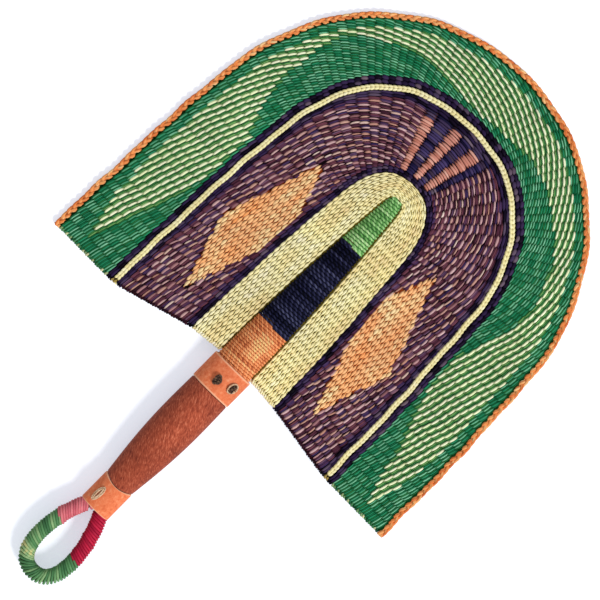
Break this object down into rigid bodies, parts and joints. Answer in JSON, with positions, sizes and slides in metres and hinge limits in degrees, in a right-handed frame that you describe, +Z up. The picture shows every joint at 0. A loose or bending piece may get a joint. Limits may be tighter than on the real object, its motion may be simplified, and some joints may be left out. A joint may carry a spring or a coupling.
{
  "type": "woven hand fan",
  "caption": "Rounded hand fan of twined dyed grass with a wound spine, a leather-bound handle and a hanging loop.",
  "frame": {"origin": "middle of the bounding box, on the underside that lies on the table", "axes": "+Y from the hanging loop up the handle to the crown of the blade, +X to the right of the face, +Z up out of the face"},
  "size_m": [0.286, 0.4446, 0.0245],
  "materials": {
    "stem_bundle": "dry grass stems",
    "grip_suede": "napped suede",
    "collar_leather": "matt vegetable-tanned hide",
    "lace_dark": "weathered lace",
    "lace_pale": "pale lace",
    "grass_orange": "dyed twisted grass",
    "grass_rim_orange": "dyed plaited grass",
    "grass_navy": "dyed twisted grass",
    "grass_purple": "dyed twisted grass",
    "grass_salmon": "dyed twisted grass",
    "grass_green": "dyed twisted grass",
    "grass_leaf_green": "dyed grass strand",
    "grass_cream": "natural twisted grass",
    "grass_edge": "natural and dyed grass, whipped",
    "strand_pink": "dyed grass strand",
    "strand_crimson": "dyed grass strand"
  },
  "bodies": {
    "root": {"handle_core": "stem_bundle", "grip_leather": "grip_suede", "upper_collar": "collar_leather", "lower_collar": "collar_leather", "upper_lace_knot_left": "lace_dark", "upper_lace_knot_right": "lace_pale", "lower_lace_loop": "lace_pale", "spine_wrap_orange": "grass_orange", "spine_wrap_navy": "grass_navy", "spine_wrap_green": "grass_leaf_green", "loop_core": "stem_bundle", "loop_wrap_pink": "strand_pink", "loop_wrap_green": "grass_leaf_green", "loop_wrap_red": "strand_crimson", "cream_band": "grass_cream", "inner_navy_rows": "grass_navy", "purple_band_left": "grass_purple", "purple_band_right": "grass_purple", "diamond_left": "grass_orange", "diamond_right": "grass_orange", "wedge_salmon_left": "grass_salmon", "wedge_navy_left": "grass_navy", "wedge_salmon_middle": "grass_salmon", "wedge_navy_middle": "grass_navy", "wedge_salmon_right": "grass_salmon", "wedge_navy_right": "grass_navy", "middle_navy_rows": "grass_navy", "chain_line": "grass_cream", "outer_navy_rows": "grass_navy", "green_band": "grass_green", "rim_braid": "grass_rim_orange", "base_edge_left": "grass_edge", "base_edge_right": "grass_edge"}
  },
  "joints": []
}
